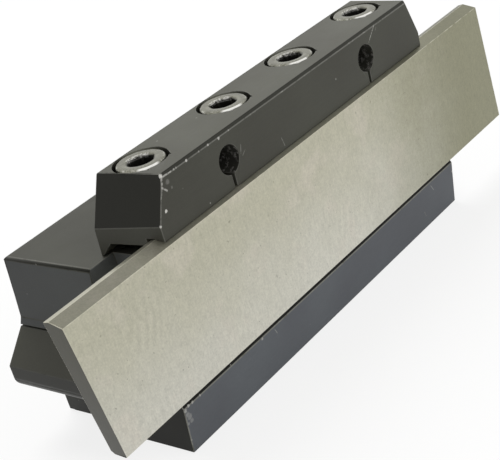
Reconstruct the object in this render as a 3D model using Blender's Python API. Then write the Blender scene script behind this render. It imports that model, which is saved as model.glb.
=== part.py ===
# Parting blade holder for a lathe: a steel block with a square shank behind, a ledge and a wall
# for a long cut-off blade in front, and a clamp bar that four socket head screws pull down.
# X runs along the blade, the blade side faces -Y, Z is up, and the origin lies on the base,
# at the middle of the block's length and of the base's depth.
import math

import bmesh
import bpy
from mathutils import Vector

mm = 0.001

# Clearances
seat_gap = 0.3 * mm
thread_gap = 0.3 * mm
head_gap = 0.8 * mm

# Blade
blade_length = 152.4 * mm
blade_height = 31.75 * mm
blade_thickness = 4.76 * mm
blade_foot_thickness = 3.9 * mm
blade_end_slant = 3.4 * mm
blade_peak_setback = 3.3 * mm
blade_bevel_drop = 0.75 * mm
blade_land_drop = 0.3 * mm
blade_foot_chamfer = 0.75 * mm
blade_shift = 3.1 * mm
blade_overhang = 2.5 * mm

# Block and base
base_depth = 40.2 * mm
jaw_length = 109.6 * mm
jaw_lip_rise = 1.8 * mm
jaw_lean = 1.06 * mm
jaw_lip = 0.9 * mm
seat_height = 12.7 * mm
jaw_edge_chamfer = 0.6 * mm
foot_length = 103.8 * mm
foot_back_radius = 1.6 * mm

# Shank
shank_width = 26.4 * mm
blade_stand = 4.45 * mm
shank_length = 109.0 * mm
shank_lower_length = 111.8 * mm
shank_chamfer = 0.9 * mm
shank_back_chamfer = 0.35 * mm
shank_edge_rise = 0.75 * mm
shank_edge_chamfer = 0.5 * mm
groove_height = 0.5 * mm
groove_bottom = 25.55 * mm
groove_depth = 2.6 * mm

# Nose at each end of the shank's lower half
nose_length = 125.6 * mm
nose_top_length = 112.4 * mm
nose_bottom = 13.6 * mm
nose_strip = 5.4 * mm
nose_radius = 2.0 * mm

# Wall behind the blade, cut back at each end by a corner with a round root
wall_length = 96.0 * mm
wall_relief_floor = 27.5 * mm
wall_relief_radius = 5.0 * mm
wall_overlap = 2.5 * mm

# Clamp bar
clamp_length = 96.5 * mm
clamp_splay = 0.85 * mm
clamp_shift = 1.6 * mm
clamp_setback = 1.17 * mm
clamp_width = 16.1 * mm
clamp_flare = 1.0 * mm
clamp_thickness = 13.8 * mm
clamp_gap = 2.4 * mm
clamp_front_chamfer = 0.8 * mm
clamp_back_chamfer = 0.35 * mm
clamp_facet_inset = 3.6 * mm
clamp_strip = 4.0 * mm
pocket_back = 6.4 * mm
heel_width = 0.45 * mm
heel_slope_run = 2.0 * mm

# Relief holes with a saw slit below, through the clamp bar from front to back
relief_diameter = 6.2 * mm
relief_rise = 7.5 * mm
relief_spacing = 51.6 * mm
relief_shift = 0.6 * mm
slit_width = 0.8 * mm

# Screws
screw_setback = 11.0 * mm
screw_outer_pitch = 26.8 * mm
screw_middle_pitch = 24.5 * mm
screw_diameter = 6.0 * mm
screw_length = 20.0 * mm
screw_point = 0.8 * mm
head_diameter = 10.0 * mm
head_height = 6.0 * mm
head_edge_radius = 0.6 * mm
head_sink = 0.25 * mm
socket_width = 5.0 * mm
socket_depth = 3.2 * mm
socket_cone = 1.0 * mm
socket_turns = (8.0, 34.0, 21.0, 47.0)
drill_allowance = 3.0 * mm
drill_angle = 118.0

# How far a cutter reaches past the faces that it opens
cutter_reach = 3.0 * mm

round_steps = 48

# Places worked out from the sizes above
base_front = -base_depth / 2
base_back = base_depth / 2
blade_front = base_front - blade_overhang
shank_front = base_back - shank_width
blade_bottom = seat_height + seat_gap
blade_top = blade_bottom + blade_height
shank_top = blade_top - blade_stand
jaw_height = seat_height - jaw_lip_rise
nose_slope_foot = nose_bottom + nose_strip
groove_top = groove_bottom + groove_height
shank_lower_edge = groove_top + shank_edge_rise
clamp_underside = shank_top + clamp_gap
clamp_top = clamp_underside + clamp_thickness
clamp_facet_foot = clamp_underside + clamp_strip
relief_height = clamp_underside + relief_rise
clamp_front = blade_front + clamp_setback
clamp_back = clamp_front + clamp_width
screw_line = blade_front + screw_setback
head_top = clamp_top - head_sink
head_foot = head_top - head_height
counterbore_floor = head_foot - seat_gap
counterbore_radius = head_diameter / 2 + head_gap
bore_radius = screw_diameter / 2 + thread_gap
screw_places = [
    clamp_shift - screw_middle_pitch / 2 - screw_outer_pitch,
    clamp_shift - screw_middle_pitch / 2,
    clamp_shift + screw_middle_pitch / 2,
    clamp_shift + screw_middle_pitch / 2 + screw_outer_pitch,
]


def clear_scene():
    for old_object in list(bpy.data.objects):
        bpy.data.objects.remove(old_object, do_unlink=True)


def make_material(name, colour, roughness, metallic):
    material = bpy.data.materials.new(name)
    material.use_nodes = True
    shader = material.node_tree.nodes["Principled BSDF"]
    shader.inputs["Base Color"].default_value = (*colour, 1.0)
    shader.inputs["Roughness"].default_value = roughness
    shader.inputs["Metallic"].default_value = metallic
    material.diffuse_color = (*colour, 1.0)
    return material


def add_object(name, mesh_data, material=None, smooth=False):
    mesh = bpy.data.meshes.new(name)
    bmesh.ops.recalc_face_normals(mesh_data, faces=mesh_data.faces)
    mesh_data.to_mesh(mesh)
    mesh_data.free()
    if smooth:
        mesh.shade_smooth()
        mesh.set_sharp_from_angle(angle=math.radians(30))
    new_object = bpy.data.objects.new(name, mesh)
    if material is not None:
        mesh.materials.append(material)
    bpy.context.collection.objects.link(new_object)
    return new_object


def hide_cutter(cutter):
    cutter.hide_render = True
    cutter.display_type = "WIRE"


def cut(target, cutter, operation="DIFFERENCE"):
    modifier = target.modifiers.new(cutter.name, "BOOLEAN")
    modifier.operation = operation
    modifier.solver = "EXACT"
    modifier.object = cutter
    hide_cutter(cutter)


def extrude_outline(mesh_data, outline, axis, start, end):
    # The outline is (y, z) for axis x, (x, z) for axis y and (x, y) for axis z
    def place(first, second):
        if axis == "x":
            return Vector((start, first, second))
        if axis == "y":
            return Vector((first, start, second))
        return Vector((first, second, start))

    travel = {"x": Vector((1, 0, 0)), "y": Vector((0, 1, 0)), "z": Vector((0, 0, 1))}[axis]
    corners = [mesh_data.verts.new(place(first, second)) for first, second in outline]
    face = mesh_data.faces.new(corners)
    swept = bmesh.ops.extrude_face_region(mesh_data, geom=[face], use_keep_orig=True)
    moved = [item for item in swept["geom"] if isinstance(item, bmesh.types.BMVert)]
    bmesh.ops.translate(mesh_data, vec=travel * (end - start), verts=moved)


def arc_points(centre, radius, start_degrees, end_degrees, steps):
    points = []
    for step in range(steps + 1):
        angle = math.radians(start_degrees + (end_degrees - start_degrees) * step / steps)
        points.append((centre[0] + radius * math.cos(angle), centre[1] + radius * math.sin(angle)))
    return points


def spin_profile(mesh_data, profile, centre, steps):
    # The profile is (radius, height), from the axis at the top to the axis at the bottom
    points = [mesh_data.verts.new((centre[0] + radius, centre[1], height)) for radius, height in profile]
    edges = [mesh_data.edges.new(pair) for pair in zip(points, points[1:])]
    bmesh.ops.spin(
        mesh_data,
        geom=points + edges,
        cent=(centre[0], centre[1], 0.0),
        axis=(0, 0, 1),
        angle=math.tau,
        steps=steps,
        use_merge=True,
    )
    bmesh.ops.remove_doubles(mesh_data, verts=mesh_data.verts, dist=1e-6)


def bevel_long_edge(mesh_data, depth, height, width, steps):
    edges = [
        edge
        for edge in mesh_data.edges
        if all(abs(v.co.y - depth) < 1e-6 and abs(v.co.z - height) < 1e-6 for v in edge.verts)
    ]
    bmesh.ops.bevel(mesh_data, geom=edges, offset=width, segments=steps, profile=0.5, affect="EDGES")


def shank_outline():
    # Right half from the base up, then the same points mirrored for the left half
    corner = (nose_length / 2 - nose_radius, nose_bottom + nose_radius)
    right = [
        (foot_length / 2 - jaw_edge_chamfer, 0.0),
        (foot_length / 2, jaw_edge_chamfer),
        (foot_length / 2, nose_bottom),
    ]
    right += arc_points(corner, nose_radius, -90, 0, 6)
    right += [
        (nose_length / 2, nose_slope_foot),
        (nose_top_length / 2, groove_bottom),
        (shank_lower_length / 2 - groove_depth, groove_bottom),
        (shank_lower_length / 2 - groove_depth, groove_top),
        (shank_lower_length / 2 - shank_edge_chamfer, groove_top),
        (shank_lower_length / 2, shank_lower_edge),
        (shank_length / 2, shank_top - shank_chamfer),
        (shank_length / 2 - shank_chamfer, shank_top),
    ]
    left = [(-x, z) for x, z in reversed(right)]
    return right + left


def front_outline():
    # Base, jaw face, lip, blade ledge and the wall, which leans back with the blade's rear face
    wall_foot = blade_front + blade_foot_thickness + seat_gap
    wall_slope = (blade_thickness - blade_foot_thickness) / blade_height
    wall_head = wall_foot + wall_slope * (shank_top - seat_height)
    jaw_top = base_front - jaw_lean
    return [
        (base_front + jaw_edge_chamfer, 0.0),
        (base_front, jaw_edge_chamfer),
        (jaw_top, jaw_height),
        (jaw_top + jaw_lip, seat_height),
        (wall_foot, seat_height),
        (wall_head, shank_top),
        (shank_front + wall_overlap, shank_top),
        (shank_front + wall_overlap, 0.0),
    ]


def relief_outline(side):
    # Corner removed above the floor and outside the wall's end, with a round root
    inner = wall_length / 2
    centre = (inner + wall_relief_radius, wall_relief_floor + wall_relief_radius)
    above = shank_top + cutter_reach
    outside = nose_length
    points = arc_points(centre, wall_relief_radius, 180, 270, 8)
    points += [(outside, wall_relief_floor), (outside, above), (inner, above)]
    return [(clamp_shift + side * x, z) for x, z in points]


def build_body(material):
    front = bmesh.new()
    extrude_outline(front, front_outline(), "x", -jaw_length / 2, jaw_length / 2)
    body = add_object("holder_body", front, material, smooth=True)

    for side, name in ((-1, "relief_left"), (1, "relief_right")):
        relief = bmesh.new()
        back = shank_front + wall_overlap + cutter_reach
        extrude_outline(relief, relief_outline(side), "y", blade_front, back)
        cut(body, add_object(name, relief, smooth=True))

    shank = bmesh.new()
    extrude_outline(shank, shank_outline(), "y", shank_front, base_back)
    bevel_long_edge(shank, shank_front, shank_top, shank_chamfer, 1)
    bevel_long_edge(shank, base_back, shank_top, shank_back_chamfer, 1)
    bevel_long_edge(shank, base_back, 0.0, foot_back_radius, 4)
    cut(body, add_object("shank_bar", shank, smooth=True), "UNION")

    drill_tip = bore_radius / math.tan(math.radians(drill_angle / 2))
    hole_bottom = head_foot - screw_length - drill_allowance
    profile = [
        (0.0, shank_top + cutter_reach),
        (bore_radius, shank_top + cutter_reach),
        (bore_radius, hole_bottom),
        (0.0, hole_bottom - drill_tip),
    ]
    for number, place in enumerate(screw_places, 1):
        hole = bmesh.new()
        spin_profile(hole, profile, (place, screw_line), round_steps)
        cut(body, add_object(f"tapped_hole_{number}", hole, smooth=True))
    return body


def clamp_outline():
    # Beak over the blade's bevel, clearance pocket behind the blade, flat underside and heel
    beak_rise = blade_bevel_drop / blade_peak_setback
    beak_tip = blade_top - blade_bevel_drop + beak_rise * clamp_setback + seat_gap
    pocket_roof = blade_top + seat_gap
    heel_tip = shank_top + seat_gap
    heel_back = clamp_back + clamp_flare
    heel_front = heel_back - heel_width
    return [
        (clamp_front, beak_tip),
        (blade_front + blade_peak_setback, pocket_roof),
        (blade_front + pocket_back, pocket_roof),
        (blade_front + pocket_back, clamp_underside),
        (heel_front - heel_slope_run, clamp_underside),
        (heel_front, heel_tip),
        (heel_back, heel_tip),
        (clamp_back, clamp_top - clamp_back_chamfer),
        (clamp_back - clamp_back_chamfer, clamp_top),
        (clamp_front + clamp_front_chamfer, clamp_top),
        (clamp_front, clamp_top - clamp_front_chamfer),
    ]


def clamp_end_outline():
    # Seen from the front: upright ends whose upper part leans inwards, carried on past the top
    half = clamp_length / 2
    above = 1.2
    top = clamp_facet_foot + above * (clamp_top - clamp_facet_foot)
    right = [
        (half, jaw_height),
        (half, clamp_facet_foot),
        (half - above * clamp_facet_inset, top),
    ]
    left = [(-x, z) for x, z in reversed(right)]
    return [(clamp_shift + x, z) for x, z in right + left]


def keyhole_outline(place):
    # Round hole whose lower side runs into a slit that leaves through the underside
    half_slit = slit_width / 2
    mouth = math.degrees(math.asin(half_slit / (relief_diameter / 2)))
    points = arc_points((place, relief_height), relief_diameter / 2, -90 + mouth, 270 - mouth, 40)
    below = shank_top - cutter_reach
    return points + [(place - half_slit, below), (place + half_slit, below)]


def build_clamp(material):
    bar = bmesh.new()
    extrude_outline(bar, clamp_outline(), "x", clamp_shift - clamp_length, clamp_shift + clamp_length)
    clamp = add_object("clamp_bar", bar, material, smooth=True)

    ends = bmesh.new()
    extrude_outline(ends, clamp_end_outline(), "y", clamp_front, clamp_front + clamp_width)
    for vertex in ends.verts:
        # The ends widen a little towards the back, and the mask reaches past both faces of the bar
        side = math.copysign(1, vertex.co.x - clamp_shift)
        reach = 2 if vertex.co.y > clamp_front + clamp_width / 2 else -1
        vertex.co.x += side * reach * clamp_splay
        vertex.co.y = clamp_front + reach * clamp_width
    cut(clamp, add_object("clamp_ends", ends), "INTERSECT")

    profile = [
        (0.0, clamp_top + cutter_reach),
        (counterbore_radius, clamp_top + cutter_reach),
        (counterbore_radius, counterbore_floor),
        (bore_radius, counterbore_floor),
        (bore_radius, clamp_underside - cutter_reach),
        (0.0, clamp_underside - cutter_reach),
    ]
    for number, place in enumerate(screw_places, 1):
        bore = bmesh.new()
        spin_profile(bore, profile, (place, screw_line), round_steps)
        cut(clamp, add_object(f"counterbore_{number}", bore, smooth=True))

    for number, side in enumerate((-1, 1), 1):
        keyhole = bmesh.new()
        place = clamp_shift + relief_shift + side * relief_spacing / 2
        front = clamp_front - cutter_reach
        back = clamp_back + clamp_flare + cutter_reach
        extrude_outline(keyhole, keyhole_outline(place), "y", front, back)
        cut(clamp, add_object(f"keyhole_{number}", keyhole, smooth=True))
    return clamp


def blade_outline():
    # Front face at the first points, then the foot, the leaning rear face, the land and the bevel
    return [
        (blade_front, blade_top - blade_bevel_drop),
        (blade_front, blade_bottom + blade_foot_chamfer),
        (blade_front + blade_foot_chamfer, blade_bottom),
        (blade_front + blade_foot_thickness - blade_foot_chamfer, blade_bottom),
        (blade_front + blade_foot_thickness, blade_bottom + blade_foot_chamfer),
        (blade_front + blade_thickness, blade_top - blade_land_drop),
        (blade_front + blade_peak_setback, blade_top),
    ]


def build_blade(material):
    blade = bmesh.new()
    extrude_outline(blade, blade_outline(), "x", blade_shift - blade_length / 2, blade_shift + blade_length / 2)
    for vertex in blade.verts:
        vertex.co.x -= blade_end_slant * (vertex.co.z - blade_bottom) / blade_height
    return add_object("parting_blade", blade, material)


def build_screw(number, place, turn, material):
    # The profile is in the screw's own frame, with the underside of the head at height zero
    edge = arc_points(
        (head_diameter / 2 - head_edge_radius, head_height - head_edge_radius), head_edge_radius, 90, 0, 4
    )
    profile = [(0.0, head_height)]
    profile += edge
    profile += [
        (head_diameter / 2, 0.0),
        (screw_diameter / 2, 0.0),
        (screw_diameter / 2, screw_point - screw_length),
        (screw_diameter / 2 - screw_point, -screw_length),
        (0.0, -screw_length),
    ]
    shape = bmesh.new()
    spin_profile(shape, profile, (0.0, 0.0), round_steps)
    screw = add_object(f"clamp_screw_{number}", shape, material, smooth=True)
    screw.location = (place, screw_line, head_foot)
    screw.rotation_euler.z = math.radians(turn)

    corner_radius = socket_width / math.sqrt(3)
    hexagon = [
        (corner_radius * math.cos(math.radians(60 * side)), corner_radius * math.sin(math.radians(60 * side)))
        for side in range(6)
    ]
    floor = head_height - socket_depth
    socket = bmesh.new()
    extrude_outline(socket, hexagon, "z", floor, head_height + cutter_reach)
    floor_corners = [v for v in socket.verts if abs(v.co.z - floor) < 1e-7]
    floor_face = [f for f in socket.faces if all(v in floor_corners for v in f.verts)]
    bmesh.ops.poke(socket, faces=floor_face, offset=0.0)
    for vertex in socket.verts:
        if Vector((vertex.co.x, vertex.co.y)).length < 1e-7:
            vertex.co.z = floor - socket_cone
    cutter = add_object(f"hex_socket_{number}", socket)
    cutter.parent = screw
    cut(screw, cutter)
    return screw


def build_holder():
    clear_scene()
    blackened = make_material("blackened_steel", (0.055, 0.056, 0.055), 0.45, 0.7)
    bright = make_material("ground_tool_steel", (0.50, 0.49, 0.43), 0.34, 0.9)
    grey = make_material("screw_steel", (0.16, 0.16, 0.15), 0.35, 0.9)
    build_body(blackened)
    build_clamp(blackened)
    build_blade(bright)
    for number, place in enumerate(screw_places, 1):
        build_screw(number, place, socket_turns[number - 1], grey)


build_holder()
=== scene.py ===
import math

import bmesh
import bpy
from mathutils import Matrix, Vector


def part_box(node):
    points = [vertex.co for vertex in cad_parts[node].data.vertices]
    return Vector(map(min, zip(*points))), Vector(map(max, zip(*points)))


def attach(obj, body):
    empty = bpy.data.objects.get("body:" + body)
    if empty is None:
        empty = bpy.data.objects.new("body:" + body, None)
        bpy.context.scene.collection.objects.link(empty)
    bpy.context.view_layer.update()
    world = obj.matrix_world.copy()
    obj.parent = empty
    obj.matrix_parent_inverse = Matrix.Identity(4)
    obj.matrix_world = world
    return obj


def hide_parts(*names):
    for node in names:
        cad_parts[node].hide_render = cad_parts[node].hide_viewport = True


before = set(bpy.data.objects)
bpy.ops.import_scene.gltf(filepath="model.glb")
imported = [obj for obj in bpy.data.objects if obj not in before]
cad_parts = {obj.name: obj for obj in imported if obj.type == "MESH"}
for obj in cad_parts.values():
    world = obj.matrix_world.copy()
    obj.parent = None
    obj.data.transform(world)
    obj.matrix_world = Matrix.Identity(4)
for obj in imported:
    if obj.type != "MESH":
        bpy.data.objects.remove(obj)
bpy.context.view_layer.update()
mm = 0.001

# The camera stands where the photo was taken, found from the blade's known size
cameraSetup = {
    "place": (-184.712, -175.397, 137.364),
    "right": (0.593881, -0.764277, -0.251369),
    "up": (0.519983, 0.126198, 0.844803),
    "lens": 86.357,
    "shift": (0.0401, 0.1585),
}


def placeCamera(setup):
    right, up = Vector(setup["right"]), Vector(setup["up"])
    camera = bpy.data.objects.new("photoCamera", bpy.data.cameras.new("photoCamera"))
    bpy.context.scene.collection.objects.link(camera)
    turn = Matrix((right, up, right.cross(up))).transposed().to_4x4()
    camera.matrix_world = Matrix.Translation(Vector(setup["place"]) * mm) @ turn
    camera.data.lens = setup["lens"]
    camera.data.sensor_width = 36.0
    camera.data.shift_x, camera.data.shift_y = setup["shift"]
    camera.data.clip_start, camera.data.clip_end = 0.01, 20.0
    bpy.context.scene.camera = camera


placeCamera(cameraSetup)
print("camera placed")


class Signal:
    # One output socket that can be written into sums
    def __init__(self, bench, socket):
        self.bench = bench
        self.socket = socket

    def __add__(self, other):
        return self.bench.sum("ADD", self, other)

    def __sub__(self, other):
        return self.bench.sum("SUBTRACT", self, other)

    def __rsub__(self, other):
        return self.bench.sum("SUBTRACT", other, self)

    def __mul__(self, other):
        return self.bench.sum("MULTIPLY", self, other)

    def __truediv__(self, other):
        return self.bench.sum("DIVIDE", self, other)

    def __rtruediv__(self, other):
        return self.bench.sum("DIVIDE", other, self)

    def __mod__(self, other):
        return self.bench.sum("FLOORED_MODULO", self, other)

    __radd__ = __add__
    __rmul__ = __mul__


class Bench:
    # A node tree, for a material or for Geometry Nodes, and the ways to add to it
    def __init__(self, tree):
        self.tree = tree

    def add(self, kind, settings=None, inputs=None, output=0):
        node = self.tree.nodes.new(kind)
        for name, value in (settings or {}).items():
            if name == "items":
                while len(node.index_switch_items) < value:
                    node.index_switch_items.new()
            else:
                setattr(node, name, value)
        for name, value in (inputs or {}).items():
            if isinstance(value, Signal):
                self.tree.links.new(value.socket, node.inputs[name])
            else:
                node.inputs[name].default_value = value
        return Signal(self, node.outputs[output]) if len(node.outputs) else node

    def sum(self, operation, *values, clamp=False):
        settings = {"operation": operation, "use_clamp": clamp}
        return self.add("ShaderNodeMath", settings, dict(enumerate(values)))

    def vector(self, operation, *values, output=0, scale=None):
        inputs = dict(enumerate(values))
        if scale is not None:
            inputs["Scale"] = scale
        return self.add("ShaderNodeVectorMath", {"operation": operation}, inputs, output)

    def clamp(self, value):
        return self.sum("ADD", value, 0.0, clamp=True)

    def step(self, value, low, high):
        # 0 below low and 1 above high, smooth between
        inputs = {"Value": value, 1: low, 2: high}
        return self.add("ShaderNodeMapRange", {"interpolation_type": "SMOOTHSTEP"}, inputs)

    def larger(self, values):
        found = values[0]
        for value in values[1:]:
            found = self.sum("MAXIMUM", found, value)
        return found

    def blend(self, share, under, over, mode="MIX"):
        settings = {"data_type": "RGBA", "blend_type": mode, "clamp_factor": True}
        return self.add("ShaderNodeMix", settings, {0: share, 6: under, 7: over}, 2)

    def noise(self, place, size, detail=3.0, rough=0.55):
        # size is the width of one patch in millimetres
        inputs = {"Vector": place, "Scale": 1.0 / (size * mm), "Detail": detail, "Roughness": rough}
        return self.add("ShaderNodeTexNoise", None, inputs)

    def attribute(self, name, output=2):
        return self.add("ShaderNodeAttribute", {"attribute_name": name}, None, output)


def shade(red, green, blue):
    return (red, green, blue, 1.0)


def newMaterial(name):
    material = bpy.data.materials.new(name)
    material.use_nodes = True
    material.node_tree.nodes.clear()
    return material, Bench(material.node_tree)


def finishMaterial(bench, colour, roughness, metallic, height, bumpDepth, specular=0.5):
    bumpInputs = {"Height": height, "Strength": 1.0, "Distance": bumpDepth * mm}
    inputs = {
        "Base Color": colour,
        "Roughness": roughness,
        "Metallic": metallic,
        "Specular IOR Level": specular,
        "Normal": bench.add("ShaderNodeBump", None, bumpInputs),
    }
    shader = bench.add("ShaderNodeBsdfPrincipled", None, inputs)
    bench.add("ShaderNodeOutputMaterial", None, {"Surface": shader})


def spotMask(bench, place, spots):
    # Small chips at given places, each (x, y, z, radius, share) in millimetres, with ragged edges
    ragged = (bench.noise(place, 0.35, 3.0, 0.8) - 0.5) * 1.5
    masks = []
    for x, y, z, radius, share in spots:
        centre = (x * mm, y * mm, z * mm)
        away = bench.vector("DISTANCE", place, centre, output=1) / (radius * mm)
        masks.append(bench.step(away + ragged, 1.0, 0.55) * share)
    return bench.larger(masks)


def scratchMask(bench, place, lines):
    # Fine scratches, each (start, end, half width, share) in millimetres
    noiseInputs = {"Vector": place, "Scale": 700.0, "Detail": 2.0}
    waver = bench.add("ShaderNodeTexNoise", None, noiseInputs, 1)
    waver = bench.vector("SUBTRACT", waver, (0.5, 0.5, 0.5))
    moved = bench.vector("ADD", place, bench.vector("SCALE", waver, scale=0.25 * mm))
    masks = []
    for start, end, width, share in lines:
        first, last = Vector(start) * mm, Vector(end) * mm
        along = last - first
        offset = bench.vector("SUBTRACT", moved, tuple(first))
        perLength = tuple(along / along.length_squared)
        part = bench.clamp(bench.vector("DOT_PRODUCT", offset, perLength, output=1))
        nearest = bench.vector("SCALE", tuple(along), scale=part)
        away = bench.vector("DISTANCE", offset, nearest, output=1) / (width * mm)
        masks.append(bench.step(away, 1.3, 0.5) * share)
    return bench.larger(masks) * bench.step(bench.noise(place, 0.5, 1.0), 0.3, 0.5)


# Black oxide over machined steel, with its wear. Chips and scratches are in model millimetres.
blackFinish = {
    "colour": (0.098, 0.099, 0.080),
    "warm": (0.084, 0.083, 0.068),
    "cool": (0.95, 1.02, 1.38),
    "bare": (0.62, 0.61, 0.57),
    "worn": (0.22, 0.22, 0.20),
    "roughness": 0.42,
    "specular": 0.12,
    "grainDepth": 0.006,
    "bareShare": 0.40,
}
clampMarks = {
    "chips": [
        (-42.45, -21.25, 56.1, 0.50, 1.0),
        (-43.9, -21.43, 49.5, 0.42, 1.0),
        (-46.45, -21.43, 47.5, 0.36, 0.8),
        (-41.4, -21.43, 54.4, 0.60, 0.16),
        (-40.7, -21.43, 52.9, 0.35, 0.14),
        (-38.9, -21.4, 55.75, 0.26, 0.5),
        (-38.2, -21.4, 55.75, 0.24, 0.4),
        (-35.1, -21.4, 55.7, 0.34, 0.8),
        (-31.2, -21.4, 55.7, 0.22, 0.4),
        (-28.3, -21.4, 55.7, 0.30, 0.6),
        (-24.95, -21.43, 55.5, 0.36, 0.7),
        (-21.6, -21.4, 55.7, 0.22, 0.4),
        (4.14, -21.43, 43.9, 0.35, 0.5),
        (7.38, -21.43, 43.5, 0.30, 0.5),
        (-29.3, -9.0, 56.5, 0.22, 0.4),
        (-32.1, -21.43, 45.0, 0.22, 0.4),
    ],
    "scratches": [
        ((-42.5, -21.4, 56.0), (-43.2, -21.42, 53.9), 0.24, 0.85),
        ((-43.2, -21.42, 53.9), (-44.3, -21.42, 52.0), 0.14, 0.45),
        ((-44.3, -21.42, 52.0), (-46.2, -21.42, 47.8), 0.12, 0.25),
        ((-43.0, -21.43, 53.8), (-42.1, -21.43, 52.9), 0.20, 0.85),
        ((-42.4, -21.42, 55.85), (-39.6, -21.42, 55.75), 0.16, 0.9),
        ((30.2, -21.43, 53.0), (33.7, -21.43, 56.1), 0.10, 0.9),
        ((34.0, -21.43, 55.2), (33.5, -21.43, 54.5), 0.08, 0.4),
        ((-6.3, -21.43, 45.0), (-6.8, -21.43, 47.0), 0.08, 0.4),
        ((-19.9, -21.43, 49.9), (-19.3, -21.43, 51.6), 0.10, 0.4),
        ((-19.6, -21.43, 49.2), (-18.4, -21.43, 50.0), 0.08, 0.4),
    ],
}
bodyMarks = {
    "chips": [
        (-54.7, -21.1, 10.4, 0.50, 0.50),
        (-54.4, -21.0, 9.3, 0.65, 0.26),
        (-53.9, -21.0, 8.4, 0.80, 0.24),
        (-53.6, -20.9, 7.3, 0.65, 0.22),
        (-54.7, -20.8, 7.2, 0.40, 0.25),
        (-53.5, -21.1, 10.9, 0.40, 0.6),
        (-52.3, -21.1, 10.9, 0.35, 0.5),
        (-28.3, -21.1, 10.6, 0.35, 0.5),
        (-49.8, -21.1, 10.9, 0.28, 0.5),
        (-54.9, -20.3, 3.2, 0.25, 0.4),
        (54.8, -21.0, 8.5, 0.35, 0.5),
        (-45.5, 19.8, 40.2, 0.40, 0.7),
    ],
    "scratches": [
        ((44, -21.0, 9.9), (45.2, -20.9, 8.2), 0.12, 0.5),
        ((40, -20.5, 4.6), (40.6, -20.4, 3.2), 0.08, 0.4),
        ((-53.9, -21.05, 9.4), (-53.1, -20.9, 7.0), 0.12, 0.35),
        ((-54.9, -20.9, 9.0), (-55.0, -20.3, 2.0), 0.14, 0.3),
        ((-23.9, -21.1, 10.4), (-23.2, -21.0, 8.8), 0.10, 0.5),
        ((-26, 6.0, 40.3), (-17, 14.0, 40.3), 0.08, 0.3),
    ],
}


def blackSteel(name, finish, marks):
    material, bench = newMaterial(name)
    place = bench.add("ShaderNodeTexCoord", None, None, "Object")
    tone = bench.attribute("tone")
    rub = bench.attribute("rub")
    bore = bench.attribute("bore")
    cool = bench.attribute("cool")

    # Machining lines run along the part, under a soft mottle of the oxide
    stretched = bench.add("ShaderNodeMapping", None, {"Vector": place, "Scale": (0.05, 1.0, 1.0)})
    lines = bench.noise(stretched, 0.22, 2.0)
    mottle = bench.noise(place, 6.0, 4.0, 0.6)
    fine = bench.noise(place, 0.45, 2.0)
    bloom = bench.noise(place, 24.0, 2.0)
    colour = bench.blend(bench.step(bloom, 0.3, 0.7), shade(*finish["colour"]), shade(*finish["warm"]))
    level = 0.86 + mottle * 0.16 + (lines - 0.5) * 0.16 + (fine - 0.5) * 0.14
    # Painted light and shade: each face's colour is scaled by its painted shading
    level = level * tone
    # Painted cool light: the block's upright faces are tinted blue for the cool light they reflect
    channels = {i: level * ((share - 1.0) * cool + 1.0) for i, share in enumerate(finish["cool"])}
    colour = bench.blend(1.0, colour, bench.add("ShaderNodeCombineXYZ", None, channels), "MULTIPLY")

    # Rough drilled bores catch light in spots
    grit = bench.step(bench.noise(place, 0.9, 3.0, 0.7), 0.50, 0.64) * bore
    colour = bench.blend(grit * 0.6, colour, shade(0.30, 0.29, 0.27))

    # Rubbed edges are grey, and bare metal shows there in places, in chips and in scratches
    patch = bench.noise(place, 2.6, 4.0, 0.65) + (fine - 0.5) * 0.35
    colour = bench.blend(rub * bench.step(patch, 0.22, 0.50), colour, shade(*finish["worn"]))
    rubbed = rub * bench.step(patch, 1.02 - finish["bareShare"], 1.14 - finish["bareShare"])
    chips = spotMask(bench, place, marks["chips"])
    scratches = scratchMask(bench, place, marks["scratches"])
    dust = bench.add("ShaderNodeTexVoronoi", None, {"Vector": place, "Scale": 260.0}, "Distance")
    speck = bench.step(dust, 0.075, 0.045) * bench.step(mottle, 0.52, 0.60) * 0.45
    bare = bench.clamp(bench.larger([rubbed * 0.5, chips * 0.95, scratches * 0.6, speck]))
    colour = bench.blend(bare, colour, shade(*finish["bare"]))

    roughness = finish["roughness"] + (mottle - 0.5) * 0.16 + (lines - 0.5) * 0.08 + grit * 0.2
    height = lines * 0.5 + fine * 0.35 - chips * 1.5 - scratches * 1.2 + grit * 4.0
    metallic = bare * 0.85
    depth, specular = finish["grainDepth"], finish["specular"]
    finishMaterial(bench, colour, roughness, metallic, height, depth, specular)
    return material


# Ground high speed steel
bladeFinish = {
    "upper": (0.450, 0.437, 0.343),
    "lower": (0.585, 0.575, 0.510),
    "far": (0.248, 0.243, 0.164),
    "blush": (0.60, 0.55, 0.48),
    "bright": (0.62, 0.60, 0.49),
    "dark": (0.10, 0.10, 0.075),
    "roughness": 0.36,
    "grainDepth": 0.004,
    "fadeFrom": 8.0,
    "fadeTo": 66.0,
    "paintedLightBesideClamp": (-62.0, -43.0),
    "arcs": [(-58.0, 0.0, 34.0, 9.0), (-62.0, 0.0, 12.0, 8.0), (8.0, 0.0, 20.0, 7.0)],
}


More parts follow.
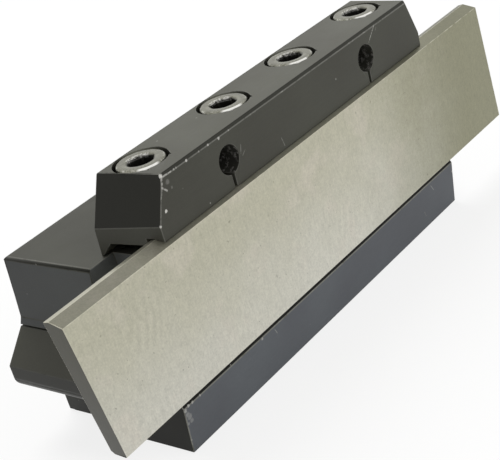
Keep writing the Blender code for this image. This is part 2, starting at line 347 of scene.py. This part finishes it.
def bladeSteel(name, finish):
    material, bench = newMaterial(name)
    place = bench.add("ShaderNodeTexCoord", None, None, "Object")
    tone = bench.attribute("tone")
    rub = bench.attribute("rub")
    slope = bench.attribute("bore")
    along = bench.add("ShaderNodeSeparateXYZ", None, {0: place}, 0)
    height = bench.add("ShaderNodeSeparateXYZ", None, {0: place}, 2)
    bloom = bench.noise(place, 22.0, 3.0)
    drift = (bloom - 0.5) * 0.02
    # Painted shading: the colour darkens towards the blade's top and towards its far end, as the light
    # on it falls off there
    rise = bench.step(height + drift, 8.0 * mm, 42.0 * mm)
    colour = bench.blend(rise, shade(*finish["lower"]), shade(*finish["upper"]))
    blush = bench.step(bench.noise(place, 9.0, 3.0, 0.6), 0.50, 0.72)
    colour = bench.blend(blush * 0.35, colour, shade(*finish["blush"]))
    fade = bench.step(along + drift, finish["fadeFrom"] * mm, finish["fadeTo"] * mm)
    colour = bench.blend(fade, colour, shade(*finish["far"]))

    # Small grains, upright streaks, dark pits and small arcs left by the grinding wheel
    grain = bench.noise(place, 0.38, 3.0, 0.7)
    mottle = bench.noise(place, 2.0, 4.0, 0.75)
    upright = bench.add("ShaderNodeMapping", None, {"Vector": place, "Scale": (1.0, 1.0, 0.22)})
    streaks = bench.noise(upright, 0.45, 2.0, 0.6)
    pits = bench.step(bench.noise(place, 0.8, 2.0, 0.5), 0.30, 0.24)
    arcs = []
    for x, y, z, spread in finish["arcs"]:
        wheel = ((x - 14.0) * mm, y * mm, (z + 4.0) * mm)
        away = bench.vector("DISTANCE", place, wheel, output=1)
        near = bench.vector("DISTANCE", place, (x * mm, -22.0 * mm, z * mm), output=1)
        wave = bench.sum("SINE", away * (math.tau / (1.1 * mm)) + mottle * 3.0)
        arcs.append(wave * bench.step(near, spread * mm, spread * 0.3 * mm))
    rings = arcs[0] + arcs[1] + arcs[2]
    level = 0.90 + (grain - 0.5) * 0.50 + (mottle - 0.5) * 0.24 + (streaks - 0.5) * 0.22
    level = level + (bloom - 0.5) * 0.10 + rings * 0.035

    # Painted light and reflection: the bevel is painted brighter where it runs beside the clamp bar,
    # against the bar's shade, and the land behind it is painted darker where the bar is reflected
    paintedLightBesideClamp = slope * bench.step(along, *(x * mm for x in finish["paintedLightBesideClamp"]))
    level = level * tone * (paintedLightBesideClamp * 0.62 + 1.0)
    even = bench.add("ShaderNodeCombineXYZ", None, {0: level, 1: level, 2: level})
    colour = bench.blend(1.0, colour, even, "MULTIPLY")
    colour = bench.blend(pits * 0.45, colour, shade(*finish["dark"]))
    # Painted highlight: the blade's eased edges are painted brighter in patches
    colour = bench.blend(rub * bench.step(mottle, 0.35, 0.6) * 0.6, colour, shade(*finish["bright"]))

    roughness = finish["roughness"] + (grain - 0.5) * 0.2 + (mottle - 0.5) * 0.1
    relief = grain * 0.7 + mottle * 0.5 + rings * 0.3 - pits * 0.8
    finishMaterial(bench, colour, roughness, 0.82, relief, finish["grainDepth"])
    return material


# Socket head screws of dark alloy steel: grey worn faces with fine dirt, painted highlights on the
# rims, and painted shade in the sockets and on the sides of the heads
screwFinish = {
    "colour": (0.255, 0.252, 0.200),
    "dull": (0.185, 0.182, 0.146),
    "dark": (0.030, 0.029, 0.025),
    "bright": (0.85, 0.84, 0.80),
    "roughness": 0.34,
    "grainDepth": 0.01,
    "top": 6.25,
    "socketRadius": 3.2,
    "highlightSide": (-0.469, -0.883),
}


def screwSteel(name, finish):
    material, bench = newMaterial(name)
    place = bench.add("ShaderNodeTexCoord", None, None, "Object")
    own = bench.attribute("own", 1)
    across, ahead, up = (bench.add("ShaderNodeSeparateXYZ", None, {0: own}, i) for i in range(3))
    radius = bench.vector("LENGTH", bench.vector("MULTIPLY", own, (1.0, 1.0, 0.0)), output=1)
    top = finish["top"]
    fine = bench.noise(place, 0.5, 3.0, 0.7)
    mottle = bench.noise(place, 1.6, 4.0, 0.7)
    onTop = bench.step(up, (top - 0.15) * mm, (top - 0.05) * mm)
    inner = finish["socketRadius"]
    inSocket = bench.step(radius, inner * mm, (inner - 0.15) * mm)
    inSocket = inSocket * bench.step(up, top * mm, (top - 0.35) * mm)
    rim = bench.step(radius, 4.62 * mm, 4.80 * mm) * bench.step(up, (top - 0.9) * mm, (top - 0.5) * mm)
    worn = bench.step(mottle, 0.36, 0.62)
    colour = bench.blend(worn, shade(*finish["dull"]), shade(*finish["colour"]))
    dirt = bench.step(fine, 0.44, 0.34) * 0.5

    # Knurling tool marks: short dark strokes round the head's face, worn away in patches
    turn = bench.sum("ARCTAN2", ahead, across)
    strokes = bench.step(bench.sum("SINE", turn * 34.0), 0.2, 0.8)
    strokes = strokes * bench.step(radius, 3.7 * mm, 3.85 * mm)
    strokes = strokes * bench.step(radius, 4.6 * mm, 4.45 * mm)
    strokes = strokes * bench.step(mottle, 0.46, 0.54) * onTop
    colour = bench.blend(bench.larger([dirt, strokes * 0.45]), colour, shade(*finish["dark"]))
    # Painted shade: the head's side below the rim, down in the counterbore, and the socket are painted
    # near black
    below = bench.step(up, (top - 0.7) * mm, (top - 1.1) * mm)
    colour = bench.blend(below * 0.85, colour, shade(*finish["dark"]))
    colour = bench.blend(inSocket * 0.9, colour, shade(*finish["dark"]))

    # Painted highlights: the rim is painted bright on one fixed side, the socket's far lip is painted
    # bright, and random glints are painted round the rim
    keyX, keyY = finish["highlightSide"]
    side = (across * keyX + ahead * keyY) / radius
    sideHighlight = rim * bench.step(side, 0.84, 0.95) * bench.step(mottle, 0.30, 0.42)
    lip = bench.step(radius, (inner + 0.15) * mm, inner * mm) * bench.step(side, -0.45, -0.8)
    lip = lip * bench.step(up, (top - 0.9) * mm, (top - 0.6) * mm) * bench.step(fine, 0.42, 0.52)
    glint = bench.larger([sideHighlight, lip * 0.55, rim * bench.step(fine + mottle, 0.95, 1.25) * 0.5])
    colour = bench.blend(glint, colour, shade(*finish["bright"]))
    roughness = finish["roughness"] + (fine - 0.5) * 0.35 + inSocket * 0.1
    relief = fine * 0.6 + mottle * 0.4 * onTop
    finishMaterial(bench, colour, roughness, 0.9, relief, finish["grainDepth"])
    return material


clampSteel = blackSteel("clampBlackOxide", blackFinish, clampMarks)
blockSteel = blackSteel("blockBlackOxide", blackFinish, bodyMarks)
groundSteel = bladeSteel("groundBladeSteel", bladeFinish)
capScrewSteel = screwSteel("capScrewSteel", screwFinish)
print("finishes made")


def mergedCopy(node):
    # The CAD mesh as one closed shell with its flat faces whole again
    shell = bmesh.new()
    shell.from_mesh(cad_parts[node].data)
    joinFlat(shell)
    return shell


def easeEdges(shell, width, steps, chosen):
    # Rounds the edges that chosen picks, and marks the new faces so that the finish can wear there; on
    # the blade they take a painted highlight
    edgeLayer = shell.faces.layers.float.get("edge") or shell.faces.layers.float.new("edge")
    edges = [e for e in shell.edges if len(e.link_faces) == 2 and chosen(e)]
    made = bmesh.ops.bevel(
        shell, geom=edges, offset=width * mm, segments=steps,
        profile=0.5, affect="EDGES", clamp_overlap=False,
    )
    for face in made["faces"]:
        face[edgeLayer] = 1.0
    return len(edges)


def toneFaces(shell, rule):
    # Each face gets its painted shading (painted light and shade), its share of a rough bore (on the
    # blade, of the bevel beside the clamp bar, which takes painted light), how far it is rubbed if it
    # is an eased edge, and its painted cool light
    edgeLayer = shell.faces.layers.float["edge"]
    looks = [rule(face, face[edgeLayer] > 0.5) for face in shell.faces]
    looks = [tuple(look) + (0.0,) * (4 - len(look)) for look in looks]
    for number, name in enumerate(("tone", "bore", "rub", "cool")):
        layer = shell.faces.layers.float.new(name)
        for face, look in zip(shell.faces, looks):
            face[layer] = look[number]


def reshape(shell, levels, rows=()):
    # Puts planes and rows of corners where the photo shows them, in millimetres. A level is
    # (axis, old, new), for x on both sides alike, and a row is ((y, z), (new y, new z)).
    for corner in shell.verts:
        x, y, z = corner.co / mm
        for (oldY, oldZ), (newY, newZ) in rows:
            if abs(y - oldY) < 0.03 and abs(z - oldZ) < 0.03:
                corner.co.y, corner.co.z = newY * mm, newZ * mm
        for axis, old, new in levels:
            if abs((abs(x), y, z)[axis] - old) < 0.03:
                corner.co[axis] = math.copysign(new, corner.co[axis]) * mm


def joinFlat(shell):
    bmesh.ops.remove_doubles(shell, verts=shell.verts, dist=0.002 * mm)
    bmesh.ops.dissolve_limit(shell, angle_limit=math.radians(0.8), verts=shell.verts, edges=shell.edges)


def finishPiece(name, shell, material, body, node):
    mesh = bpy.data.meshes.new(name)
    bmesh.ops.recalc_face_normals(shell, faces=shell.faces)
    bmesh.ops.triangulate(shell, faces=[f for f in shell.faces if len(f.verts) > 4])
    shell.to_mesh(mesh)
    shell.free()
    mesh.materials.append(material)
    mesh.shade_smooth()
    mesh.set_sharp_from_angle(angle=math.radians(35))
    piece = bpy.data.objects.new(name, mesh)
    bpy.context.scene.collection.objects.link(piece)
    even = piece.modifiers.new("evenNormals", "WEIGHTED_NORMAL")
    even.keep_sharp = True
    even.weight = 100
    graph = bpy.context.evaluated_depsgraph_get()
    piece.data = bpy.data.meshes.new_from_object(piece.evaluated_get(graph))
    piece.modifiers.clear()
    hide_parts(node)
    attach(piece, body)
    return piece


def turnsMoreThan(edge, degrees):
    return edge.calc_face_angle(0.0) > math.radians(degrees)


def isLongCorner(edge, shortest):
    first, last = (v.co for v in edge.verts)
    return turnsMoreThan(edge, 14) and (first - last).length > shortest * mm


# Tones are painted light and shade: they scale the black's colour face by face. "middle" to "leftLean"
# set the slanted ends.
clampForm = {
    "edgeWidth": 0.14,
    "rimWidth": 0.12,
    "shortest": 1.2,
    "top": 0.95,
    "front": 0.71,
    "end": 0.27,
    "strip": 0.80,
    "band": 0.42,
    "under": 0.10,
    "inside": 0.40,
    "width": 16.1,
    "holes": {"x": (-23.6, 28.0), "z": 50.2, "radius": 3.2, "rim": 3.4},
    "screws": {"x": (-37.45, -10.65, 13.85, 40.65), "y": -11.6, "radius": 5.95, "rim": 6.1},
    "towardsCamera": (-0.725, -0.689),
    "levels": [
        (2, 44.566, 44.12), (2, 45.05, 44.77), (2, 42.7, 43.25), (2, 40.6, 40.32),
        (1, -16.2, -17.05), (1, -6.78, -7.63),
    ],
    "rows": [((-20.63, 56.5), (-21.2, 56.5))],
    "endsFrom": 44.0,
    "oldMiddle": 1.6,
    "oldFoot": 46.7,
    "middle": 1.95,
    "half": 48.5,
    "endSplay": 1.7,
    "facetSplay": 1.35,
    "facetFoot": 47.4,
    "facetLean": 3.5 / 9.1,
    "leftLean": 0.65 / 9.1,
}


def fromScrew(form, x, y):
    return min(math.hypot(x - place, y - form["screws"]["y"]) for place in form["screws"]["x"])


def fromHole(form, x, z):
    return min(math.hypot(x - place, z - form["holes"]["z"]) for place in form["holes"]["x"])


def setClampEnds(shell, form, front):
    # Both ends widen towards the back, and above a sloping line they lean inwards
    for corner in shell.verts:
        x, y, z = corner.co / mm
        side = x - form["oldMiddle"]
        if abs(side) < form["endsFrom"] or fromScrew(form, x, y) < form["screws"]["radius"]:
            continue
        depth = (y - front) / form["width"]
        if abs(z - form["oldFoot"]) < 0.03:
            z = form["facetFoot"] - depth * (form["endSplay"] - form["facetSplay"]) / form["facetLean"]
        upright = form["half"] + depth * form["endSplay"]
        leaning = form["half"] + depth * form["facetSplay"]
        leaning -= (z - form["facetFoot"]) * form["facetLean"]
        if side < 0:
            leaning -= max(0.0, z - form["facetFoot"]) * form["leftLean"]
        corner.co.x = (form["middle"] + math.copysign(min(upright, leaning), side)) * mm
        corner.co.z = z * mm


def makeClamp(form):
    shell = mergedCopy("clamp_bar")
    low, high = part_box("clamp_bar")
    reshape(shell, form["levels"], form["rows"])
    setClampEnds(shell, form, low.y / mm)
    joinFlat(shell)
    front, top = low.y / mm, high.z / mm
    towardsCamera = Vector(form["towardsCamera"])

    def rim(edge):
        first, last = (v.co for v in edge.verts)
        middle = (first + last) / 2
        onTop = abs(middle.z - high.z) < 0.02 * mm
        onFront = abs(middle.y - low.y) < 0.02 * mm
        return turnsMoreThan(edge, 40) and (first - last).length < 1.0 * mm and (onTop or onFront)

    def rule(face, eased):
        normal, centre = face.normal, face.calc_center_median()
        x, y, z = centre / mm
        toScrew, toHole = fromScrew(form, x, y), fromHole(form, x, z)
        if eased:
            if abs(z - top) < 0.2 and toScrew < form["screws"]["rim"]:
                return form["top"], 0.0, 0.5
            if abs(y - front) < 0.2 and toHole < form["holes"]["rim"]:
                return form["front"], 0.0, 0.25
            if 55.2 < z < 56.1 and normal.y < -0.8:
                return form["front"], 0.0, 0.55
            # Painted shadow: the bar's eased lower front edge is painted near black where it meets the
            # blade
            if z < 45.5 and normal.y < -0.2 and abs(normal.x) < 0.3:
                return form["under"], 0.0, 0.0
            if z > 55.2 and normal.y < -0.2 and abs(normal.x) < 0.2:
                return form["band"] * 0.7, 0.0, 0.0
            if z > 55.2:
                return form["top"], 0.0, 0.35
            if normal.y < -0.3 and abs(normal.x) > 0.3:
                return form["front"], 0.0, 0.45
            return form["strip"], 0.0, 0.2
        # Painted light: counterbore walls are painted brighter the more they face the camera, so the
        # far wall shows lit
        if toScrew < form["screws"]["radius"] and abs(normal.z) < 0.5:
            facing = max(0.0, Vector((normal.x, normal.y)).dot(towardsCamera))
            return 0.25 + 2.6 * facing ** 3, 0.0, 0.0
        if toHole < form["holes"]["radius"] and abs(normal.y) < 0.3:
            return form["inside"], 1.0, 0.0
        if abs(normal.z) > 0.9 and z > 55.5:
            return form["top"], 0.0, 0.0
        if normal.z > 0.15 and normal.y < -0.4:
            return form["band"], 0.0, 0.0
        if abs(normal.x) > 0.8:
            return (form["end"] if normal.z > 0.1 else form["strip"]), 0.0, 0.0
        return form["front"], 0.0, 0.0

    straight = easeEdges(shell, form["edgeWidth"], 2, lambda edge: isLongCorner(edge, form["shortest"]))
    rims = easeEdges(shell, form["rimWidth"], 1, rim)
    toneFaces(shell, rule)
    finishPiece("clampBar", shell, clampSteel, "clamp", "clamp_bar")
    print("clamp bar made, edges eased:", straight, rims)


# "levels" are (axis, in the CAD, in the photo)
blockForm = {
    "edgeWidth": 0.16,
    "shortest": 1.5,
    # Tones are painted light and shade, face by face
    "top": 0.67,
    "front": 1.34,
    "end": 0.84,
    "slope": 0.21,
    "strip": 0.45,
    "jawEnd": 0.16,
    "band": 0.28,
    "inside": 1.1,
    "lip": 0.10,
    "oldNose": (60.8, 15.6, 2.0),
    "nose": (59.2, 15.7, 3.2),
    "levels": [
        (0, 54.5, 53.7), (0, 53.6, 53.1), (0, 55.9, 55.15), (0, 55.4, 55.9), (0, 53.3, 52.55),
        (0, 56.2, 56.0), (0, 62.8, 62.4), (0, 54.8, 55.1), (0, 51.3, 51.9), (2, 39.4, 39.7),
        (2, 26.8, 26.6), (2, 26.05, 25.1), (2, 25.55, 24.75), (2, 19.0, 18.6), (2, 13.6, 12.5),
        (2, 0.6, 0.0), (1, -6.3, -5.6), (1, -5.4, -5.6), (1, -19.5, -20.1),
    ],
}


def roundNose(shell, form):
    # The noses' lower corners get a larger radius
    (oldX, oldZ, oldRadius), (newX, newZ, newRadius) = form["oldNose"], form["nose"]
    for corner in shell.verts:
        x, z = abs(corner.co.x) / mm - oldX, corner.co.z / mm - oldZ
        if x > -0.01 and z < 0.01 and abs(math.hypot(x, z) - oldRadius) < 0.03:
            scale = newRadius / oldRadius
            corner.co.x = math.copysign(newX + x * scale, corner.co.x) * mm
            corner.co.z = (newZ + z * scale) * mm


def makeBlock(form):
    shell = mergedCopy("holder_body")
    roundNose(shell, form)
    reshape(shell, form["levels"])
    joinFlat(shell)

    def rule(face, eased):
        normal, centre = face.normal, face.calc_center_median()
        x, y, z = abs(centre.x) / mm, centre.y / mm, centre.z / mm
        if eased:
            if y < -20.0 and z > 10.0:
                return form["front"], 0.0, 0.8
            if y < -19.0 and x > 54.5:
                return form["front"], 0.0, 0.5
            if z > 40.0:
                return form["top"], 0.0, (0.35 if y < -5.0 or x > 52.9 else 0.1)
            return form["strip"], 0.0, 0.15
        if z > 39.6 and abs(normal.x) > 0.4:
            return form["band"], 0.0, 0.0
        # Painted shadow: the lip's sloping face under the blade is painted near black
        if y < -15.0 and 10.8 < z < 12.9 and normal.z > 0.3:
            return form["lip"], 0.0, 0.0
        if normal.z > 0.7:
            return form["top"], 0.0, 0.0
        # Painted light: the shaded space behind the blade is painted lighter
        if y < -4.0 and z > 25.0 and abs(normal.z) < 0.9:
            return form["inside"], 0.0, 0.0, 0.6
        if abs(normal.x) > 0.5:
            # Painted shadow: the jaw's ends, under the blade's overhang, are painted dark
            if y < -5.0:
                return form["jawEnd"], 0.0, 0.0
            if 18.0 < z < 25.0 and normal.z > 0.3:
                return form["slope"], 0.0, 0.0
            return (form["strip"], 0.0, 0.0, 0.2) if z < 20.0 else (form["end"], 0.0, 0.0, 0.6)
        return form["front"], 0.0, 0.0, 1.0

    straight = easeEdges(shell, form["edgeWidth"], 2, lambda edge: isLongCorner(edge, form["shortest"]))
    toneFaces(shell, rule)
    finishPiece("holderBlock", shell, blockSteel, "block", "holder_body")
    print("block made, edges eased:", straight)


bladeForm = {
    "edgeWidth": 0.10,
    # Tones are painted light and shade, face by face
    "front": 1.16,
    "bevel": 0.56,
    "land": 1.08,
    "end": 0.17,
    "rows": [
        ((-22.6, 44.0), (-22.6, 43.75)),
        ((-22.6, 13.75), (-22.6, 13.0)),
        ((-21.85, 13.0), (-22.6, 13.0)),
    ],
}


def makeBlade(form):
    shell = mergedCopy("parting_blade")
    reshape(shell, (), form["rows"])
    joinFlat(shell)

    def rule(face, eased):
        normal = face.normal
        if eased:
            return form["front"], 0.0, 1.0
        if abs(normal.x) > 0.7:
            return form["end"], 0.0, 0.0
        if normal.z > 0.5:
            return (form["bevel"], 1.0, 0.0) if normal.y < 0 else (form["land"], -0.6, 0.0)
        return form["front"], 0.0, 0.0

    low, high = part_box("parting_blade")
    straight = easeEdges(shell, form["edgeWidth"], 2, lambda edge: turnsMoreThan(edge, 8))
    for corner in shell.verts:
        corner.co.x = min(max(corner.co.x, low.x), high.x)  # easing can overshoot at a slanted end
    toneFaces(shell, rule)
    finishPiece("partingBlade", shell, groundSteel, "blade", "parting_blade")
    print("blade made, edges eased:", straight)


# M6 x 20 socket head cap screws, in millimetres; the foot of the head is at height zero
screwForm = {
    "headRadius": 5.15,
    "headHeight": 6.25,
    "rimRadius": 0.6,
    "raised": 0.25,
    "socketWidth": 5.3,
    "socketDepth": 3.2,
    "socketCone": 1.0,
    "knurlDepth": 0.13,
    "threadRadius": 3.0,
    "pitch": 1.0,
    "threadDepth": 0.6,
    "length": 20.0,
    "turns": (8.0, 34.0, 21.0, 47.0),
}


def headStations(form):
    # (radius, height, hexagon share, knurl share) from the socket's tip over the rim to the underside
    top, across = form["headHeight"], form["socketWidth"] / 2
    floor = top - form["socketDepth"]
    corner = across / math.cos(math.radians(30)) + 0.06
    rim, outer = form["rimRadius"], form["headRadius"]
    stations = [
        (0.0, floor - form["socketCone"], 0.0, 0.0),
        (across * 0.9, floor - 0.1, 0.6, 0.0),
        (across, floor, 1.0, 0.0),
        (across, top - 0.32, 1.0, 0.0),
        (corner, top - 0.02, 0.0, 0.0),
        (corner + 0.08, top, 0.0, 0.0),
        (3.9, top, 0.0, 0.0),
    ]
    for part in range(5):
        angle = math.radians(90 - 22.5 * part)
        radius, height = outer - rim + rim * math.cos(angle), top - rim + rim * math.sin(angle)
        stations.append((radius, height, 0.0, 0.0))
    knurlRows = 14
    for row in range(knurlRows):
        height = top - rim - 0.25 - row * (top - rim - 0.85) / (knurlRows - 1)
        stations.append((outer, height, 0.0, 1.0))
    stations += [(outer, 0.3, 0.0, 0.0), (outer - 0.3, 0.0, 0.0, 0.0)]
    stations += [(3.4, 0.0, 0.0, 0.0), (0.0, 0.0, 0.0, 0.0)]
    return stations


def addInputs(group, names):
    for name, kind, value in names:
        entry = group.interface.new_socket(name, in_out="INPUT", socket_type=kind)
        if value is not None:
            entry.default_value = value
    group.interface.new_socket("Geometry", in_out="OUTPUT", socket_type="NodeSocketGeometry")


def wheelGrid(bench, columns, rows):
    # A grid to be wrapped round the screw's axis, with its row number and its angle
    grid = bench.add("GeometryNodeMeshGrid", None, {"Vertices X": columns + 1, "Vertices Y": rows})
    index = bench.add("GeometryNodeInputIndex")
    column = bench.sum("FLOOR", (index + 0.5) / rows)
    row = index - column * rows
    return grid, row, column


def wrapped(bench, grid, radius, angle, height):
    inputs = {0: radius * bench.sum("COSINE", angle), 1: radius * bench.sum("SINE", angle), 2: height}
    own = bench.add("ShaderNodeCombineXYZ", None, inputs)
    placed = bench.add("GeometryNodeSetPosition", None, {"Geometry": grid, "Position": own})
    return bench.add("GeometryNodeMergeByDistance", None, {"Geometry": placed, "Distance": 0.002 * mm})


def byRow(bench, row, values):
    switch = {"data_type": "FLOAT", "items": len(values)}
    inputs = {0: row}
    inputs.update({i + 1: value for i, value in enumerate(values)})
    return bench.add("GeometryNodeIndexSwitch", switch, inputs)


def screwTree(form):
    group = bpy.data.node_groups.new("capScrew", "GeometryNodeTree")
    bench = Bench(group)
    addInputs(group, [
        ("Turn", "NodeSocketFloat", 0.0),
        ("Place", "NodeSocketVector", None),
        ("Knurl Depth", "NodeSocketFloat", form["knurlDepth"] * mm),
        ("Thread Radius", "NodeSocketFloat", form["threadRadius"] * mm),
        ("Thread Pitch", "NodeSocketFloat", form["pitch"] * mm),
        ("Thread Depth", "NodeSocketFloat", form["threadDepth"] * mm),
        ("Length", "NodeSocketFloat", form["length"] * mm),
        ("Finish", "NodeSocketMaterial", None),
    ])
    given = group.nodes.new("NodeGroupInput")
    value = {socket.name: Signal(bench, socket) for socket in given.outputs if socket.name}
    turn = value["Turn"]

    # Head: one closed surface through all its stations, six-sided in the socket, knurled on its side
    stations = headStations(form)
    columns = 96
    grid, row, column = wheelGrid(bench, columns, len(stations))
    angle = column * (math.tau / columns)
    units = (mm, mm, 1, 1)
    listed = ([station[i] * units[i] for station in stations] for i in range(4))
    radius, height, hexShare, knurlShare = (byRow(bench, row, values) for values in listed)
    sector = (angle + math.radians(30)) % math.radians(60) - math.radians(30)
    flatTop = 1.0 / bench.sum("COSINE", sector)
    radius = radius * (1.0 + (flatTop - 1.0) * hexShare)
    bump = (row + column) % 2.0
    radius = radius - value["Knurl Depth"] * bump * knurlShare
    head = wrapped(bench, grid, radius, angle + turn, height)

    # Shank: the thread is a ridge whose height depends on how far round and down it is
    around, perTurn = 40, 8
    rows = int(form["length"] / form["pitch"] * perTurn) + 6
    grid, row, column = wheelGrid(bench, around, rows)
    angle = column * (math.tau / around)
    depth = (row - 2.0) * (form["pitch"] * mm / perTurn)
    depth = bench.sum("MINIMUM", bench.sum("MAXIMUM", depth, -0.3 * mm), value["Length"])
    phase = bench.sum("FRACT", depth / value["Thread Pitch"] + angle / math.tau)
    ridge = bench.sum("ABSOLUTE", phase * 2.0 - 1.0) * 1.5 - 0.25
    groove = 1.0 - bench.clamp(ridge)
    runOut = bench.step(depth, 0.6 * mm, 1.8 * mm)
    radius = value["Thread Radius"] - value["Thread Depth"] * groove * runOut
    point = value["Thread Radius"] - 0.8 * mm + (value["Length"] - depth)
    radius = bench.sum("MINIMUM", radius, point)
    inside = bench.sum("COMPARE", row, 0.0, 0.5)
    lastRow = bench.sum("COMPARE", row, float(rows - 1), 0.5)
    radius = radius * (1.0 - inside) * (1.0 - lastRow)
    shank = wrapped(bench, grid, radius, angle + turn, depth * -1.0)

    joined = group.nodes.new("GeometryNodeJoinGeometry")
    group.links.new(head.socket, joined.inputs[0])
    group.links.new(shank.socket, joined.inputs[0])
    whole = Signal(bench, joined.outputs[0])
    kept = {"data_type": "FLOAT_VECTOR", "domain": "POINT"}
    here = bench.add("GeometryNodeInputPosition")
    own = {"Geometry": whole, "Name": "own", "Value": here}
    whole = bench.add("GeometryNodeStoreNamedAttribute", kept, own)
    whole = bench.add("GeometryNodeSetPosition", None, {"Geometry": whole, "Offset": value["Place"]})
    whole = bench.add("GeometryNodeRealizeInstances", None, {"Geometry": whole})
    whole = bench.add("GeometryNodeSetMaterial", None, {"Geometry": whole, "Material": value["Finish"]})
    end = group.nodes.new("NodeGroupOutput")
    group.links.new(whole.socket, end.inputs[0])
    return group


def makeScrews(form):
    group = screwTree(form)
    sockets = group.interface.items_tree
    keys = {item.name: item.identifier for item in sockets if item.in_out == "INPUT"}
    for number, turn in enumerate(form["turns"], 1):
        low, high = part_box("clamp_screw_" + str(number))
        place = (low + high) / 2
        name = "capScrew" + str(number)
        screw = bpy.data.objects.new(name, bpy.data.meshes.new(name))
        bpy.context.scene.collection.objects.link(screw)
        maker = screw.modifiers.new("capScrew", "NODES")
        maker.node_group = group
        maker[keys["Turn"]] = math.radians(turn)
        maker[keys["Place"]] = (place.x, place.y, high.z + (form["raised"] - form["headHeight"]) * mm)
        maker[keys["Finish"]] = capScrewSteel
        graph = bpy.context.evaluated_depsgraph_get()
        screw.data = bpy.data.meshes.new_from_object(screw.evaluated_get(graph))
        screw.modifiers.clear()
        shell = bmesh.new()
        shell.from_mesh(screw.data)
        bmesh.ops.recalc_face_normals(shell, faces=shell.faces)
        shell.to_mesh(screw.data)
        shell.free()
        screw.data.shade_smooth()
        screw.data.set_sharp_from_angle(angle=math.radians(32))
        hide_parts("clamp_screw_" + str(number))
        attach(screw, "screw_" + str(number))
    print("screws made:", len(form["turns"]), "with", len(screw.data.polygons), "faces each")


makeBlock(blockForm)
makeClamp(clampForm)
makeBlade(bladeForm)
makeScrews(screwForm)


# Plain studio: pale floor, white surroundings, a big lamp overhead and a weaker one in front
studioSetup = {
    "floorSize": 3.0,
    "floorLevel": -0.2,
    "floorColour": (0.86, 0.86, 0.85),
    "floorGlow": 0.82,
    "worldLight": 0.42,
    "lamps": {
        "overhead": {"place": (0.15, 0.35, 0.75), "size": 0.55, "watts": 5.6},
        "front": {"place": (0.10, -0.80, 0.45), "size": 0.6, "watts": 2.6},
    },
}


def pureView(bench):
    # 1 for what the camera, mirrors and glass look at, 0 for what lights the part
    path = bench.add("ShaderNodeLightPath").socket.node
    names = ("Is Camera Ray", "Is Glossy Ray", "Is Transmission Ray")
    return bench.larger([Signal(bench, path.outputs[name]) for name in names])


def makeStudio(setup):
    half = setup["floorSize"] / 2
    mesh = bpy.data.meshes.new("paleFloor")
    level = setup["floorLevel"] * mm
    corners = [(-half, -half, level), (half, -half, level), (half, half, level), (-half, half, level)]
    mesh.from_pydata(corners, [], [(0, 1, 2, 3)])
    floor = bpy.data.objects.new("paleFloor", mesh)
    bpy.context.scene.collection.objects.link(floor)
    material, bench = newMaterial("paleFloor")
    place = bench.add("ShaderNodeTexCoord", None, None, "Object")
    soft = bench.noise(place, 40.0, 2.0)
    darker = (channel * 0.97 for channel in setup["floorColour"])
    tint = bench.blend(soft, shade(*setup["floorColour"]), shade(*darker))
    matt = bench.add("ShaderNodeBsdfDiffuse", None, {"Color": tint})
    glow = bench.add("ShaderNodeEmission", None, {"Color": shade(1, 1, 1), "Strength": 1.0})
    share = pureView(bench) * setup["floorGlow"]
    both = bench.add("ShaderNodeMixShader", None, {0: share, 1: matt, 2: glow})
    bench.add("ShaderNodeOutputMaterial", None, {"Surface": both})
    mesh.materials.append(material)

    world = bpy.data.worlds.new("softRoom")
    world.use_nodes = True
    world.node_tree.nodes.clear()
    bench = Bench(world.node_tree)
    paper = shade(1, 1, 1)
    dimInputs = {"Color": paper, "Strength": setup["worldLight"]}
    dim = bench.add("ShaderNodeBackground", None, dimInputs)
    white = bench.add("ShaderNodeBackground", None, {"Color": paper, "Strength": 1.0})
    both = bench.add("ShaderNodeMixShader", None, {0: pureView(bench), 1: dim, 2: white})
    bench.add("ShaderNodeOutputWorld", None, {"Surface": both})
    bpy.context.scene.world = world

    for name, lamp in setup["lamps"].items():
        data = bpy.data.lights.new(name, "AREA")
        data.shape = "DISK"
        data.size, data.energy = lamp["size"], lamp["watts"]
        light = bpy.data.objects.new(name, data)
        light.visible_glossy = False
        bpy.context.scene.collection.objects.link(light)
        light.location = lamp["place"]
        aim = Vector((0.0, 0.0, 0.03)) - Vector(lamp["place"])
        light.rotation_euler = aim.to_track_quat("-Z", "Y").to_euler()
    bpy.context.scene.view_settings.view_transform = "Standard"


makeStudio(studioSetup)
print("studio made")
